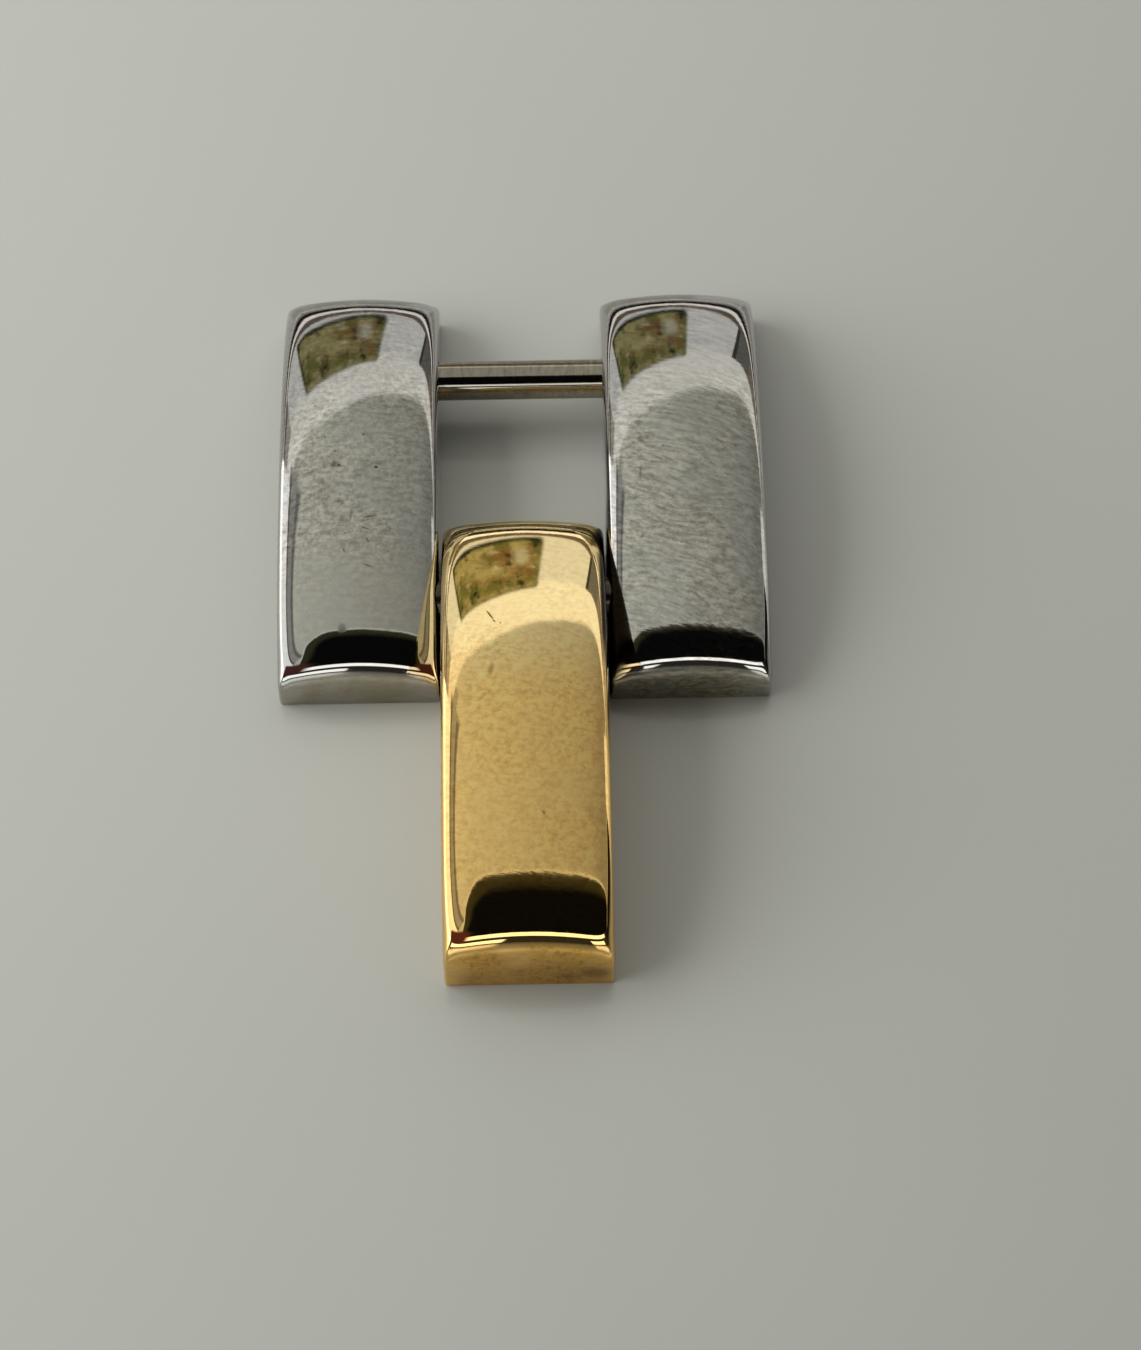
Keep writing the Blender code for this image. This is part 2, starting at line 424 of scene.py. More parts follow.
def mathNode(tree, operation, *values):
    # from the third value on, the operation is repeated on its own result
    node = addNode(tree, "ShaderNodeMath", operation=operation)
    for value, socket in zip(values[:2], node.inputs):
        setOrJoin(tree, value, socket)
    result = node.outputs[0]
    return mathNode(tree, operation, result, *values[2:]) if len(values) > 2 else result


def vectorNode(tree, operation, first, second=None):
    node = addNode(tree, "ShaderNodeVectorMath", operation=operation)
    setOrJoin(tree, first, node.inputs[0])
    if second is not None:
        setOrJoin(tree, second, node.inputs["Scale" if operation == "SCALE" else 1])
    return node.outputs["Value" if operation == "LENGTH" else "Vector"]


def turnNode(tree, vector, angle):
    node = addNode(tree, "ShaderNodeVectorRotate", rotation_type="Z_AXIS")
    join(tree, vector, node.inputs["Vector"])
    join(tree, angle, node.inputs["Angle"])
    return node.outputs["Vector"]


def splitNode(tree, vector):
    node = addNode(tree, "ShaderNodeSeparateXYZ")
    join(tree, vector, node.inputs["Vector"])
    return node.outputs


def noiseNode(tree, vector, scale, detail, roughness=0.5):
    node = addNode(tree, "ShaderNodeTexNoise")
    join(tree, vector, node.inputs["Vector"])
    setOrJoin(tree, scale, node.inputs["Scale"])
    node.inputs["Detail"].default_value = detail
    node.inputs["Roughness"].default_value = roughness
    return node.outputs


def rangeNode(tree, value, fromMin, fromMax, toMin=0.0, toMax=1.0, smoothed=True):
    node = addNode(tree, "ShaderNodeMapRange")
    node.interpolation_type = "SMOOTHSTEP" if smoothed else "LINEAR"
    setOrJoin(tree, value, node.inputs["Value"])
    limits = {"From Min": fromMin, "From Max": fromMax, "To Min": toMin, "To Max": toMax}
    for name, limit in limits.items():
        setOrJoin(tree, limit, node.inputs[name])
    return node.outputs["Result"]


def mixNode(tree, kind, amount, first, second):
    firstInput, secondInput, output = mixSockets[kind]
    node = addNode(tree, "ShaderNodeMix", data_type=kind)
    setOrJoin(tree, amount, node.inputs["Factor"])
    setOrJoin(tree, first, node.inputs[firstInput])
    setOrJoin(tree, second, node.inputs[secondInput])
    return node.outputs[output]


def mixColour(tree, amount, *colours):
    # a colour is a socket, or three numbers that are made opaque here
    ready = [(*colour, 1.0) if isinstance(colour, tuple) else colour for colour in colours]
    return mixNode(tree, "RGBA", amount, *ready)


def newGroup(name, vectors, numbers, outputs):
    tree = bpy.data.node_groups.new(name, "ShaderNodeTree")
    for label in vectors:
        tree.interface.new_socket(label, in_out="INPUT", socket_type="NodeSocketVector")
    for label, value in numbers.items():
        socket = tree.interface.new_socket(label, in_out="INPUT", socket_type="NodeSocketFloat")
        socket.default_value = value
    for label in outputs:
        tree.interface.new_socket(label, in_out="OUTPUT", socket_type="NodeSocketFloat")
    given = addNode(tree, "NodeGroupInput").outputs
    out = addNode(tree, "NodeGroupOutput").inputs
    return tree, given, out


def placeGroup(tree, group, vector, **values):
    node = addNode(tree, "ShaderNodeGroup", node_tree=group)
    join(tree, vector, node.inputs["Vector"])
    for label, value in values.items():
        setOrJoin(tree, value, node.inputs[label])
    return node.outputs


# shared finishes, with places in millimetres

hairlineShape = {
    "drift": {"scale": 0.5, "detail": 1.0},
    "driftMiddle": (0.5, 0.5, 0.5),
    "lines": {"scale": 1.0, "detail": 3.0, "roughness": 0.6},
    "range": (0.3, 0.7),
}

cloudShape = {
    "cloud": {"detail": 4.0, "roughness": 0.6},
    "cloudRange": (0.36, 0.66),
    "grain": {"scale": 7.0, "detail": 4.0, "roughness": 0.65},
    "grainRange": (0.32, 0.68),
}

pitShape = {"leastSize": 0.4, "core": 0.45}

faceShape = {
    "endTilt": (0.82, 0.97),        # how straight an end face looks along the link
    "sideSpan": 0.2,
}


def hairlineGroup():
    # dense wandering polishing lines along one direction
    numbers = {"Angle": 0.0, "Fineness": 9.0, "Stretch": 7.0, "Wander": 0.5}
    tree, given, out = newGroup("hairlines", ["Vector"], numbers, ["Lines"])
    drift = noiseNode(tree, given["Vector"], **hairlineShape["drift"])["Color"]
    drift = vectorNode(tree, "SUBTRACT", drift, hairlineShape["driftMiddle"])
    drift = vectorNode(tree, "SCALE", drift, given["Wander"])
    moved = vectorNode(tree, "ADD", given["Vector"], drift)
    aligned = turnNode(tree, moved, given["Angle"])
    pull = addNode(tree, "ShaderNodeCombineXYZ")
    join(tree, mathNode(tree, "DIVIDE", given["Fineness"], given["Stretch"]), pull.inputs["X"])
    join(tree, given["Fineness"], pull.inputs["Y"])
    join(tree, given["Fineness"], pull.inputs["Z"])
    stretched = vectorNode(tree, "MULTIPLY", aligned, pull.outputs[0])
    lines = noiseNode(tree, stretched, **hairlineShape["lines"])["Fac"]
    join(tree, rangeNode(tree, lines, *hairlineShape["range"]), out["Lines"])
    return tree


def cloudGroup():
    # broad uneven patches left by handling and polishing, and a fine grain
    tree, given, out = newGroup("clouding", ["Vector"], {"Scale": 0.6}, ["Cloud", "Grain"])
    cloud = noiseNode(tree, given["Vector"], given["Scale"], **cloudShape["cloud"])["Fac"]
    grain = noiseNode(tree, given["Vector"], **cloudShape["grain"])["Fac"]
    join(tree, rangeNode(tree, cloud, *cloudShape["cloudRange"]), out["Cloud"])
    join(tree, rangeNode(tree, grain, *cloudShape["grainRange"]), out["Grain"])
    return tree


def pitGroup():
    # small dark specks and dents, scattered
    numbers = {"Scale": 1.6, "Size": 0.07, "Share": 0.3}
    tree, given, out = newGroup("pits", ["Vector"], numbers, ["Pits"])
    cells = addNode(tree, "ShaderNodeTexVoronoi", feature="F1")
    join(tree, given["Vector"], cells.inputs["Vector"])
    join(tree, given["Scale"], cells.inputs["Scale"])
    shades = addNode(tree, "ShaderNodeSeparateColor")
    join(tree, cells.outputs["Color"], shades.inputs[0])
    chosen = mathNode(tree, "LESS_THAN", shades.outputs["Red"], given["Share"])
    share = mathNode(tree, "ADD", shades.outputs["Green"], pitShape["leastSize"])
    size = mathNode(tree, "MULTIPLY", given["Size"], share)
    core = mathNode(tree, "MULTIPLY", size, pitShape["core"])
    spot = rangeNode(tree, cells.outputs["Distance"], size, core)
    join(tree, mathNode(tree, "MULTIPLY", spot, chosen), out["Pits"])
    return tree


def markGroup():
    # one mark of its own: a nick, a scratch or a smudge, as a soft oval on the surface
    numbers = {"Angle": 0.0, "Core": 0.5}
    tree, given, out = newGroup("mark", ["Vector", "Place", "Size"], numbers, ["Mark"])
    offset = vectorNode(tree, "SUBTRACT", given["Vector"], given["Place"])
    aligned = turnNode(tree, offset, mathNode(tree, "MULTIPLY", given["Angle"], -1.0))
    reach = vectorNode(tree, "LENGTH", vectorNode(tree, "DIVIDE", aligned, given["Size"]))
    join(tree, rangeNode(tree, reach, 1.0, given["Core"]), out["Mark"])
    return tree


def faceGroup():
    # upright end faces, and the part of one side that lies in the gap between two links, which
    # takes painted shade
    numbers = {"Side": 1.0, "ShadeStart": 0.0, "ShadeFull": 1.0, "Tilt": 0.8}
    tree, given, out = newGroup("faces", ["Vector", "Normal"], numbers, ["End", "GapShade"])
    facing = splitNode(tree, given["Normal"])
    place = splitNode(tree, given["Vector"])
    endwise = mathNode(tree, "ABSOLUTE", facing["Y"])
    join(tree, rangeNode(tree, endwise, *faceShape["endTilt"]), out["End"])
    fullTilt = mathNode(tree, "ADD", given["Tilt"], faceShape["sideSpan"])
    sideways = mathNode(tree, "MULTIPLY", facing["X"], given["Side"])
    sideways = rangeNode(tree, sideways, given["Tilt"], fullTilt)
    along = rangeNode(tree, place["Y"], given["ShadeStart"], given["ShadeFull"])
    join(tree, mathNode(tree, "MULTIPLY", sideways, along), out["GapShade"])
    return tree


hairlines = hairlineGroup()
clouding = cloudGroup()
pits = pitGroup()
mark = markGroup()
faces = faceGroup()

# what all the metals share
metalFinish = {
    "secondLines": 0.35,            # share of the second set of lines
    "topTilt": (0.55, 0.88),        # how far up the tops face, against the shoulders
    "shoulderWear": 0.2,            # the shoulders are hardly worn
    "leastUneven": 0.55,            # of the wear, where the clouds are thin
    "leastEndDullAndReflection": 0.45,            # of the end faces, where the clouds are thin
    "stainGrain": (0.35, 0.95),
    "speckRoughness": 0.25,
    "gapShadeRoughness": 0.2,
    "bumpDistance": 0.01 * mm,
}

# each mark: place and size in millimetres, from the middle of the link's underside,
# then the angle in degrees, the share of it that is core, and its depth
leftSteelLook = {
    "name": "polished_steel_left",
    "colour": (0.50, 0.50, 0.485),
    "warmColour": (0.53, 0.50, 0.465),
    # painted reflection: the far part of the link takes this tone, darker or paler than its own
    # colour, for what it mirrors there
    "farReflectionColour": (0.44, 0.437, 0.415),
    "farReflectionFrom": (-0.5, 3.0),         # along the link
    "pitColour": (0.12, 0.11, 0.09),
    # painted reflection: the warm brown the end faces mirror
    "endReflectionColour": (0.42, 0.38, 0.29),
    # a near-black painted shade for the side that faces the next link
    "gapShadeColour": (0.05, 0.035, 0.02),
    # painted shade on the side in the gap between links: which side, where along the link it sets
    # in, and how upright
    "gapShade": {"Side": 1.0, "ShadeStart": -3.2, "ShadeFull": -4.6, "Tilt": 0.8},
    "lineTone": 0.30,               # how far lines and grain move the tone, as a share
    "grainTone": 0.28,
    "roughness": 0.03,
    "hazeRoughness": 0.04,
    "lineRoughness": 0.03,
    "endRoughness": 0.22,
    "endStain": 0.22,
    "angles": (2, 38),
    "fineness": (8.0, 6.0),
    "stretch": (4.5, 2.0),
    "wornFrom": (-4.4, -2.2),       # along the link: cleaner before, worn after
    "leastWear": 0.30,
    "wornTo": (1.0, 2.8),           # and less so towards the far end
    "farWear": 0.6,
    "pitShare": 0.6,
    "bump": 0.05,
    "marks": [
        ((0.523, -0.731, 3.05), (0.075, 0.052, 0.3), -15, 0.55, 1.0),
        ((-0.627, -0.604, 3.05), (0.12, 0.19, 0.4), 0, 0.1, 0.75),
        ((-0.396, -5.324, 2.09), (0.17, 0.19, 0.5), 0, 0.3, 0.42),
        ((-0.309, -2.744, 2.84), (0.06, 0.025, 0.3), -40, 0.4, 0.8),
        ((0.124, -2.699, 2.85), (0.035, 0.025, 0.3), 0, 0.4, 0.8),
        ((0.852, -3.25, 2.68), (0.045, 0.03, 0.3), 20, 0.4, 0.6),
        ((0.342, -2.265, 2.91), (0.25, 0.04, 0.3), 12, 0.2, 0.8),
        ((-0.153, -2.219, 2.92), (0.38, 0.055, 0.3), -97, 0.0, 0.5),
        ((0.292, -2.95, 2.80), (0.12, 0.036, 0.3), -68, 0.3, 0.75),
        ((0.317, -3.683, 2.63), (0.17, 0.034, 0.3), -17, 0.3, 0.7),
        ((-0.343, -3.245, 2.73), (0.11, 0.034, 0.3), -59, 0.3, 0.7),
        ((0.239, -2.607, 2.86), (0.17, 0.036, 0.3), -21, 0.3, 0.75),
    ],
}

rightSteelLook = dict(
    leftSteelLook,
    name="polished_steel_right",
    # painted shade on the left side, towards the near end
    gapShade={"Side": -1.0, "ShadeStart": -1.0, "ShadeFull": -2.0, "Tilt": 0.8},
    lineTone=0.46,
    grainTone=0.18,
    hazeRoughness=0.045,
    lineRoughness=0.04,
    angles=(-16, -36),
    fineness=(9.0, 7.0),
    stretch=(6.0, 5.0),
    wornFrom=(-20.0, -19.0),
    farWear=0.42,
    pitShare=0.06,
    bump=0.08,
    marks=[((-1.24, -0.926, 2.93), (0.05, 0.27, 0.4), -4, 0.2, 0.55)],
)

goldLook = dict(
    leftSteelLook,
    name="polished_yellow_gold",
    colour=(0.96, 0.64, 0.25),
    warmColour=(0.97, 0.625, 0.225),
    # painted reflection: a paler, brighter gold on the far part
    farReflectionColour=(1.0, 0.775, 0.40),
    pitColour=(0.26, 0.15, 0.045),
    # painted reflection: the warm brown the gold end faces mirror
    endReflectionColour=(0.82, 0.475, 0.115),
    # painted shade on the right side, towards the far end
    gapShade={"Side": 1.0, "ShadeStart": 0.6, "ShadeFull": 2.2, "Tilt": 0.5},
    lineTone=0.18,
    grainTone=0.18,
    roughness=0.028,
    hazeRoughness=0.03,
    lineRoughness=0.02,
    endRoughness=0.16,
    endStain=0.7,
    angles=(-12, 58),
    stretch=(3.0, 4.0),
    wornFrom=(-7.0, 2.0),
    leastWear=0.75,
    pitShare=0.03,
    bump=0.03,
    marks=[
        ((-0.887, 2.46, 3.52), (0.25, 0.032, 0.4), -61, 0.5, 1.0),
        ((-0.78, 2.24, 3.52), (0.07, 0.035, 0.4), -40, 0.4, 0.9),
        ((-0.87, 0.646, 3.72), (0.10, 0.34, 0.4), -6, 0.1, 0.55),
        ((0.445, -3.499, 3.35), (0.09, 0.045, 0.4), -64, 0.3, 0.7),
        # the last three: broad dark ovals low on the near end face, darker towards its bottom and
        # strongest at the right
        ((1.72, -6.725, 0.62), (0.62, 0.5, 0.42), 0, 0.2, 0.7),
        ((1.05, -6.725, 0.45), (0.55, 0.5, 0.30), 0, 0.1, 0.55),
        ((-1.60, -6.725, 0.50), (0.70, 0.5, 0.40), 0, 0.0, 0.3),
    ],
)

screwLook = dict(
    leftSteelLook,
    name="turned_screw_steel",
    colour=(0.34, 0.315, 0.275),
    warmColour=(0.32, 0.295, 0.25),
    farReflectionColour=(0.34, 0.315, 0.275),
    gapShade={"Side": 1.0, "ShadeStart": 30.0, "ShadeFull": 31.0, "Tilt": 0.8},     # out of reach: none
    lineTone=0.26,
    grainTone=0.10,
    roughness=0.07,
    angles=(90, 84),
    stretch=(9.0, 6.0),
    wornFrom=(-20.0, -19.0),
    pitShare=0.05,
    marks=[],
)

# the hinge pin sits deep between the links: rough, with painted shade making its steel dark
pinLook = dict(
    screwLook,
    name="pin_steel_painted_shade",
    colour=(0.11, 0.10, 0.085),
    warmColour=(0.09, 0.075, 0.06),
    farReflectionColour=(0.11, 0.10, 0.085),
    roughness=0.24,
)


def polishedMetal(look):
    material = bpy.data.materials.new(look["name"])
    material.use_nodes = True
    tree = material.node_tree
    shader = tree.nodes["Principled BSDF"]
    shader.inputs["Metallic"].default_value = 1.0
    place = addNode(tree, "ShaderNodeTexCoord").outputs
    vector = vectorNode(tree, "SCALE", place["Object"], 1 / mm)
    along = splitNode(tree, vector)["Y"]
    upward = splitNode(tree, place["Normal"])["Z"]

    lineSets = []
    for angle, fineness, stretch in zip(look["angles"], look["fineness"], look["stretch"]):
        settings = {"Angle": radians(-angle), "Fineness": fineness, "Stretch": stretch}
        lineSets.append(placeGroup(tree, hairlines, vector, **settings)["Lines"])
    lines = mixNode(tree, "FLOAT", metalFinish["secondLines"], *lineSets)
    haze = placeGroup(tree, clouding, vector)
    cloud, grain = haze["Cloud"], haze["Grain"]
    # the gap mask is painted shade on the side that faces the next link
    face = placeGroup(tree, faces, vector, Normal=place["Normal"], **look["gapShade"])
    end, gapShade = face["End"], face["GapShade"]
    # end faces: a real dull finish in their roughness, and a painted reflection in their warm tint
    endDullAndReflection = rangeNode(tree, cloud, 0.0, 1.0, metalFinish["leastEndDullAndReflection"])
    endDullAndReflection = mathNode(tree, "MULTIPLY", end, endDullAndReflection)

    # wear on the tops and the end faces
    top = rangeNode(tree, upward, *metalFinish["topTilt"], metalFinish["shoulderWear"])
    worn = rangeNode(tree, along, *look["wornFrom"], look["leastWear"])
    farWorn = rangeNode(tree, along, *look["wornTo"], 1.0, look["farWear"])
    worn = mathNode(tree, "MULTIPLY", worn, farWorn, mathNode(tree, "MAXIMUM", top, end))
    uneven = rangeNode(tree, cloud, 0.0, 1.0, metalFinish["leastUneven"])
    uneven = mathNode(tree, "MULTIPLY", worn, uneven)
    specks = placeGroup(tree, pits, vector, Share=look["pitShare"])["Pits"]
    specks = mathNode(tree, "MULTIPLY", specks, worn)
    for spot, size, angle, core, depth in look["marks"]:
        settings = {"Place": spot, "Size": size, "Angle": radians(angle), "Core": core}
        made = placeGroup(tree, mark, vector, **settings)["Mark"]
        specks = mathNode(tree, "MAXIMUM", specks, mathNode(tree, "MULTIPLY", made, depth))

    # tone: 1 on average, moved by the lines and the grain where the link is worn
    shifts = [
        rangeNode(tree, source, 0.0, 1.0, -amount, amount, smoothed=False)
        for source, amount in ((lines, look["lineTone"]), (grain, look["grainTone"]))
    ]
    shift = mathNode(tree, "MULTIPLY", mathNode(tree, "ADD", *shifts), uneven)
    tone = mathNode(tree, "ADD", shift, 1.0)
    # painted reflection: the far part of the link is tinted towards its own tone
    far = rangeNode(tree, along, *look["farReflectionFrom"])
    stain = rangeNode(tree, grain, *metalFinish["stainGrain"])
    stain = mathNode(tree, "MULTIPLY", stain, cloud, end, look["endStain"])
    colour = mixColour(tree, cloud, look["colour"], look["warmColour"])
    colour = mixColour(tree, far, colour, look["farReflectionColour"])
    # painted reflection on the end faces
    colour = mixColour(tree, endDullAndReflection, colour, look["endReflectionColour"])
    colour = mixColour(tree, stain, colour, look["pitColour"])
    # painted shade in the gap between links
    colour = mixColour(tree, gapShade, colour, look["gapShadeColour"])
    toned = vectorNode(tree, "SCALE", colour, tone)
    spotted = mixColour(tree, specks, toned, look["pitColour"])
    join(tree, spotted, shader.inputs["Base Color"])

    rough = mathNode(
        tree, "ADD",
        mathNode(tree, "MULTIPLY", cloud, look["hazeRoughness"]),
        mathNode(tree, "MULTIPLY", lines, look["lineRoughness"]),
    )
    rough = mathNode(
        tree, "ADD",
        mathNode(tree, "MULTIPLY", rough, worn),
        look["roughness"],
        mathNode(tree, "MULTIPLY", specks, metalFinish["speckRoughness"]),
        mathNode(tree, "MULTIPLY", endDullAndReflection, look["endRoughness"]),
        mathNode(tree, "MULTIPLY", gapShade, metalFinish["gapShadeRoughness"]),
    )
    join(tree, rough, shader.inputs["Roughness"])

    height = mathNode(tree, "SUBTRACT", mathNode(tree, "MULTIPLY", lines, uneven), specks)
    bump = addNode(tree, "ShaderNodeBump")
    bump.inputs["Strength"].default_value = look["bump"]
    bump.inputs["Distance"].default_value = metalFinish["bumpDistance"]
    join(tree, height, bump.inputs["Height"])
    join(tree, bump.outputs["Normal"], shader.inputs["Normal"])
    return material


def dress(item, look):
    item.data.materials.clear()
    item.data.materials.append(polishedMetal(look))


dress(leftLink, leftSteelLook)
dress(rightLink, rightSteelLook)
dress(goldLink, goldLook)
dress(pin, pinLook)
dress(screw, screwLook)
print("metals finished")


# table top

tableLook = {
    "size": 1.2,
    "segments": 8,
    "colour": (0.435, 0.443, 0.410),
    "cloudColour": (0.420, 0.427, 0.394),
    "clouds": {"scale": 90.0, "detail": 3.0},
    "roughness": 0.13,
    "gloss": 0.75,
}


def tableTop():
    count = tableLook["segments"]
    bm = bmesh.new()
    bmesh.ops.create_grid(bm, x_segments=count, y_segments=count, size=tableLook["size"])
    table = keepMesh("table_top", bm)
    material = bpy.data.materials.new("pale_table")
    material.use_nodes = True
    tree = material.node_tree
    shader = tree.nodes["Principled BSDF"]
    shader.inputs["Roughness"].default_value = tableLook["roughness"]
    shader.inputs["Specular IOR Level"].default_value = tableLook["gloss"]
    place = addNode(tree, "ShaderNodeTexCoord").outputs["Object"]
    clouds = noiseNode(tree, place, **tableLook["clouds"])["Fac"]
    tone = mixColour(tree, clouds, tableLook["colour"], tableLook["cloudColour"])
    join(tree, tone, shader.inputs["Base Color"])
    table.data.materials.append(material)


tableTop()


# studio: what the polished metal mirrors, and the soft light

studioLook = {
    "ambient": 0.26,
    "ambientTint": (1.0, 0.985, 0.90),
    "ambientLean": (-0.95, 0.6),        # more of it from the left and from the far side
    "background": (0.435, 0.443, 0.410),
    "ceilingLeft": (0.66, 0.67, 0.58),
    "ceilingRight": (0.27, 0.262, 0.225),
    "ceilingSpan": (-42, 46),           # degrees to the side
    "wallTurn": -17.6,                  # the far wall stands turned by this many degrees
    "softness": 0.9,
    "lampTint": (1.0, 0.995, 0.985),
}

# the mottled panels: a ground with these tones laid over it, each by its own noise
mottleNoise = {"detail": 4.0, "roughness": 0.6}
mottling = [
    {"tone": (0.38, 0.33, 0.16), "scale": 8.0, "range": (0.42, 0.62)},
    {"tone": (0.22, 0.12, 0.05), "scale": 10.0, "range": (0.54, 0.72)},
    {"tone": (0.025, 0.03, 0.009), "scale": 13.0, "range": (0.50, 0.66)},
    {"tone": (0.56, 0.53, 0.40), "scale": 17.0, "range": (0.58, 0.74)},
]

# each panel: tone, then limits in degrees. azimuth and elevation are round and above the far
# side (+Y). wall is the height on the turned far wall. arch runs over the top from the far
# horizon (0) to the near one (180), with side as degrees to the right. A later panel covers an
# earlier one.
studioPanels = [
    dict(tone=(0.77, 0.765, 0.735), azimuth=(-45, 62), wall=(0, 31)),
    dict(tone=(0.42, 0.42, 0.36), azimuth=(-62, -44), elevation=(14, 44)),
    dict(tone=(0.22, 0.18, 0.15), azimuth=(-62, -44), elevation=(0, 14)),
    dict(tone=(0.95, 0.93, 0.86), azimuth=(-80, 80), wall=(30, 41.5), soft=1.6),
    dict(tone=(0.02, 0.022, 0.008), azimuth=(-27.4, 5.2), wall=(10.2, 31.6), corner=1.2),
    dict(
        tone=(0.16, 0.155, 0.047), azimuth=(-26.2, 5.2), wall=(12.0, 31.3), corner=1.2,
        mottled=True,
    ),
    dict(tone=(0.20, 0.128, 0.047), azimuth=(-8, 1.8), wall=(15.5, 26), soft=3.2, mottled=True),
    dict(tone=(0.46, 0.44, 0.34), azimuth=(-2.6, 0.8), wall=(15.5, 21.5), corner=1.7, soft=2.4),
    dict(tone=(0.16, 0.155, 0.14), azimuth=(23.5, 37), wall=(8, 29)),
    dict(tone=(0.05, 0.05, 0.045), azimuth=(22.6, 24.2), wall=(8, 29), soft=0.5),
    dict(tone=(0.25, 0.21, 0.18), azimuth=(37, 62), wall=(4, 29)),
    dict(tone=(0.15, 0.115, 0.09), azimuth=(-62, 62), elevation=(5.4, 8.1), soft=0.6),
    dict(tone=(1.20, 1.14, 1.08), azimuth=(-62, 62), elevation=(3.3, 5.6), soft=0.3),
    dict(tone=(0.02, 0.018, 0.015), azimuth=(-62, 62), elevation=(-2, 3.2), soft=0.3),
    # left: a bright window, under a dim wall with two ledges
    dict(tone=(0.36, 0.36, 0.34), azimuth=(-135, -50), elevation=(34, 50)),
    dict(tone=(0.17, 0.17, 0.155), azimuth=(-135, -52), elevation=(35, 38), soft=0.5),
    dict(tone=(0.19, 0.19, 0.175), azimuth=(-135, -52), elevation=(46.5, 49), soft=0.5),
    dict(tone=(1.25, 1.25, 1.22), azimuth=(-133, -56), elevation=(0, 34)),
    dict(tone=(2.60, 2.58, 2.50), azimuth=(-133, -56), elevation=(-1, 9)),
    # right: a dark room behind a pale strip
    dict(tone=(0.008, 0.008, 0.008), azimuth=(75, 150), elevation=(0, 20)),
    dict(tone=(0.92, 0.92, 0.86), azimuth=(65, 76), elevation=(2, 21), soft=1.2),
    dict(tone=(0.40, 0.40, 0.37), azimuth=(76, 150), elevation=(19, 21.6), soft=0.6),
    # near: dark, with a pale edge at the top and pale strips above the table
    dict(tone=(0.80, 0.78, 0.70), arch=(101.9, 150), side=(-28.0, 71), corner=12, soft=0.3),
    dict(tone=(0.04, 0.038, 0.02), arch=(102.5, 150), side=(-27.2, 70), corner=11, soft=0.3),
    dict(tone=(0.004, 0.004, 0.004), arch=(105.5, 150), side=(-22.5, 68), corner=9, soft=1.6),
    dict(tone=(0.03, 0.03, 0.03), arch=(149.5, 181), side=(-60, 60)),
    dict(tone=(1.8, 1.8, 1.76), arch=(151, 159.5), side=(-50, 50)),
    dict(tone=(1.8, 1.8, 1.76), arch=(168, 176.5), side=(-50, -6)),
    dict(tone=(1.8, 1.8, 1.76), arch=(168, 176.5), side=(16, 42)),
    dict(tone=(0.09, 0.03, 0.026), arch=(137, 166), side=(-62, -19), corner=8, soft=3.0),
]


def panelMask(tree, readings, panel):
    # how far a direction lies outside the panel's limits, with its corners rounded
    corner = panel.get("corner", 0.0)
    soft = panel.get("soft", studioLook["softness"])
    squares = []
    for name, value in readings.items():
        if name not in panel:
            continue
        low, high = panel[name]
        apart = mathNode(tree, "ABSOLUTE", mathNode(tree, "SUBTRACT", value, (low + high) / 2))
        past = mathNode(tree, "SUBTRACT", apart, (high - low) / 2 - corner)
        past = mathNode(tree, "MAXIMUM", past, 0.0)
        squares.append(mathNode(tree, "MULTIPLY", past, past))
    reach = mathNode(tree, "SQRT", mathNode(tree, "ADD", *squares))
    return rangeNode(tree, reach, corner + soft, max(corner - soft, 0.0))


def weighted(tree, first, firstShare, second, secondShare):
    first = mathNode(tree, "MULTIPLY", first, firstShare)
    second = mathNode(tree, "MULTIPLY", second, secondShare)
    return mathNode(tree, "ADD", first, second)


def backgroundNode(tree, colour, strength=1.0):
    node = addNode(tree, "ShaderNodeBackground")
    setOrJoin(tree, colour, node.inputs["Color"])
    setOrJoin(tree, strength, node.inputs["Strength"])
    return node.outputs[0]


def mixShaders(tree, *sources):
    # the amount, then the two shaders
    node = addNode(tree, "ShaderNodeMixShader")
    for source, socket in zip(sources, node.inputs):
        join(tree, source, socket)
    return node.outputs[0]


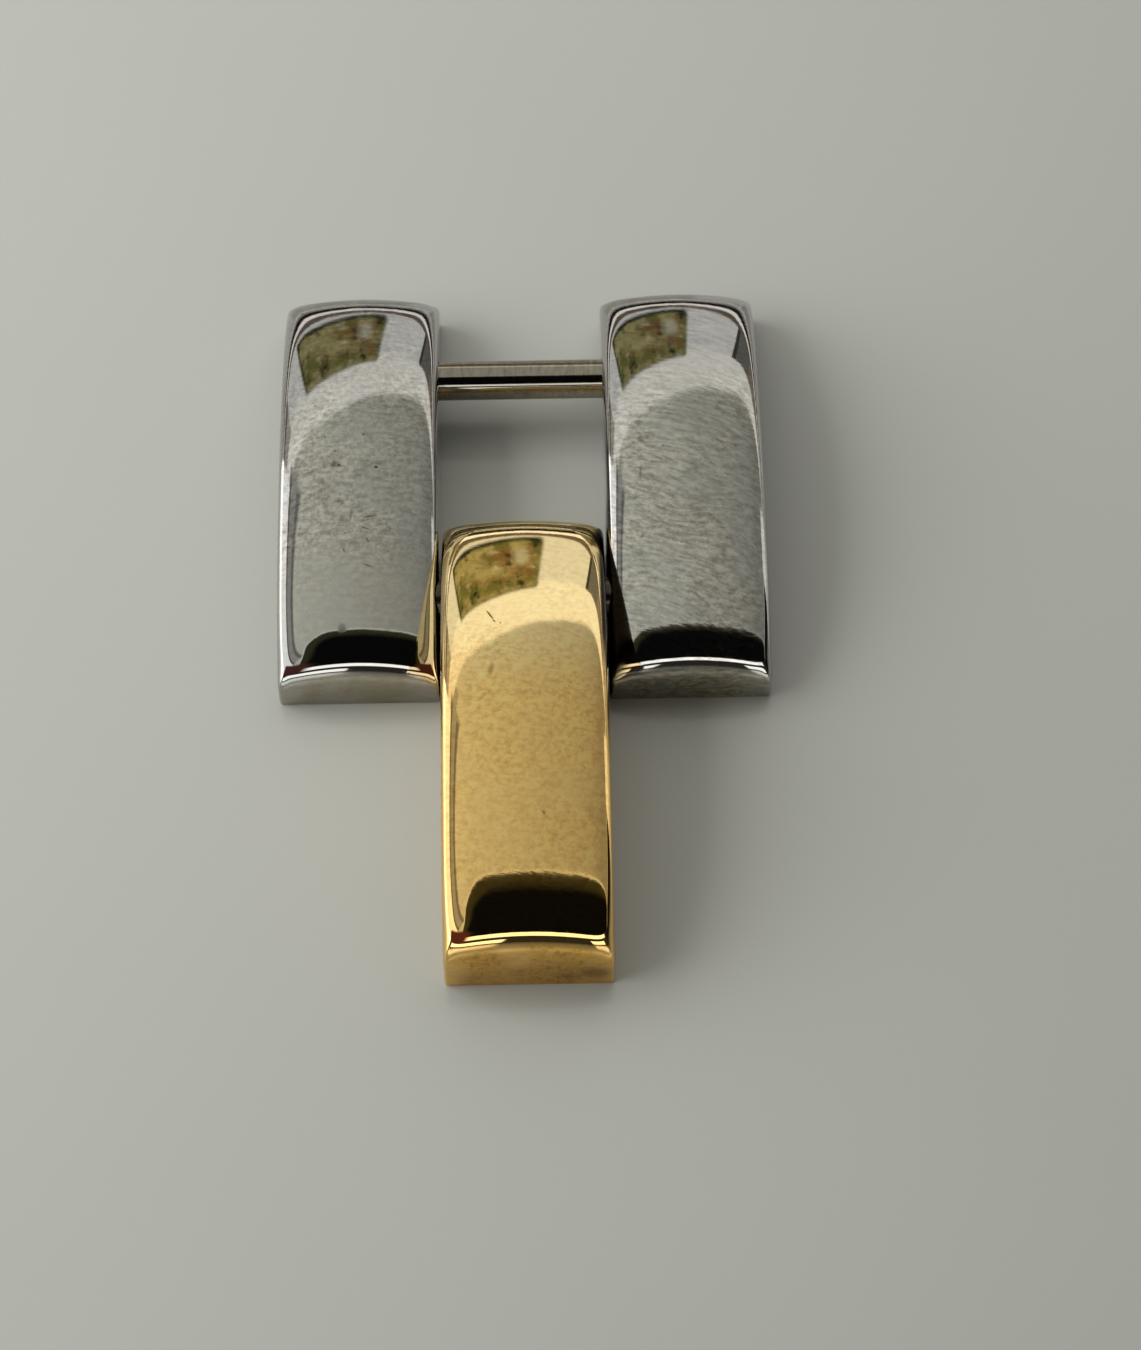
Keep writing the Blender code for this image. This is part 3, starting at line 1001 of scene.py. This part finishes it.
def studioWorld():
    world = bpy.data.worlds.new("studio")
    bpy.context.scene.world = world
    world.use_nodes = True
    tree = world.node_tree
    tree.nodes.clear()
    direction = addNode(tree, "ShaderNodeTexCoord").outputs["Generated"]
    x, y, z = splitNode(tree, direction)

    def inDegrees(*step):
        return mathNode(tree, "MULTIPLY", mathNode(tree, *step), 180 / pi)

    turn = radians(studioLook["wallTurn"])
    towardsWall = weighted(tree, x, sin(turn), y, cos(turn))
    readings = {
        "azimuth": inDegrees("ARCTAN2", x, y),
        "elevation": inDegrees("ARCSINE", z),
        "wall": inDegrees("ARCTAN2", z, towardsWall),
        "arch": inDegrees("ARCTAN2", z, y),
        "side": inDegrees("ARCSINE", x),
    }
    across = rangeNode(tree, readings["side"], *studioLook["ceilingSpan"], smoothed=False)
    colour = mixColour(tree, across, studioLook["ceilingLeft"], studioLook["ceilingRight"])
    for panel in studioPanels:
        tone = panel["tone"]
        for layer in mottling if "mottled" in panel else []:
            spots = noiseNode(tree, direction, layer["scale"], **mottleNoise)["Fac"]
            tone = mixColour(tree, rangeNode(tree, spots, *layer["range"]), tone, layer["tone"])
        colour = mixColour(tree, panelMask(tree, readings, panel), colour, tone)

    # mirror rays see the panels, the camera a plain ground, and the rest an even light
    leanX, leanY = studioLook["ambientLean"]
    lean = weighted(tree, x, leanX, y, leanY)
    level = mathNode(tree, "MULTIPLY", mathNode(tree, "ADD", lean, 1.0), studioLook["ambient"])
    mirrored = backgroundNode(tree, colour)
    ambient = backgroundNode(tree, (*studioLook["ambientTint"], 1.0), level)
    seen = backgroundNode(tree, (*studioLook["background"], 1.0))
    path = addNode(tree, "ShaderNodeLightPath").outputs
    plain = mixShaders(tree, path["Is Camera Ray"], ambient, seen)
    both = mixShaders(tree, path["Is Glossy Ray"], plain, mirrored)
    join(tree, both, addNode(tree, "ShaderNodeOutputWorld").inputs["Surface"])


# soft lamps: azimuth from the far side (left is negative), share of a full light on the table
softLamps = [
    {
        "name": "left_window", "azimuth": -90, "elevation": 31,
        "distance": 0.125, "size": (0.13, 0.10), "share": 0.61,
    },
    {
        "name": "far_window", "azimuth": -2, "elevation": 49,
        "distance": 0.085, "size": (0.14, 0.10), "share": 0.41,
    },
]


def softLamp(look):
    azimuth = radians(look["azimuth"])
    elevation = radians(look["elevation"])
    distance = look["distance"]
    level = cos(elevation)
    towards = Vector((sin(azimuth) * level, cos(azimuth) * level, sin(elevation)))
    lamp = bpy.data.lights.new(look["name"], "AREA")
    lamp.shape = "RECTANGLE"
    lamp.size, lamp.size_y = look["size"]
    lamp.energy = look["share"] * pi * pi * distance ** 2 / sin(elevation)
    lamp.color = studioLook["lampTint"]
    item = bpy.data.objects.new(look["name"], lamp)
    item.location = towards * distance
    item.rotation_euler = towards.to_track_quat("Z", "Y").to_euler()
    item.visible_glossy = False      # the panels above are what the metal mirrors
    bpy.context.scene.collection.objects.link(item)


studioWorld()
for lampLook in softLamps:
    softLamp(lampLook)
print("studio lit")


# camera at the photograph's angle

viewPoint = {
    "target": (1.243 * mm, -1.307 * mm, 0.0),
    "distance": 100.99 * mm,
    "elevation": 58.0,
    "yaw": 0.89,
    "roll": -0.24,
    "focalPixels": 3694.57,
    "framePixels": (1141, 1350),
    "sensor": 36.0,
    "clip": (1 * mm, 10.0),
}


def photoCamera():
    elevation = radians(viewPoint["elevation"])
    yaw = radians(viewPoint["yaw"])
    roll = radians(viewPoint["roll"])
    forward = Vector((sin(yaw) * cos(elevation), cos(yaw) * cos(elevation), -sin(elevation)))
    level = Vector((cos(yaw), -sin(yaw), 0.0))
    upward = level.cross(forward)
    right = cos(roll) * level + sin(roll) * upward
    top = cos(roll) * upward - sin(roll) * level
    lens = bpy.data.cameras.new("photo_camera")
    lens.sensor_width = viewPoint["sensor"]
    lens.lens = viewPoint["focalPixels"] / max(viewPoint["framePixels"]) * lens.sensor_width
    lens.clip_start, lens.clip_end = viewPoint["clip"]
    camera = bpy.data.objects.new("photo_camera", lens)
    turn = Matrix((right, top, -forward)).transposed().to_4x4()
    place = Vector(viewPoint["target"]) - forward * viewPoint["distance"]
    camera.matrix_world = Matrix.Translation(place) @ turn
    bpy.context.scene.collection.objects.link(camera)
    bpy.context.scene.camera = camera


photoCamera()
bpy.context.scene.view_settings.view_transform = "Standard"
print("camera set")
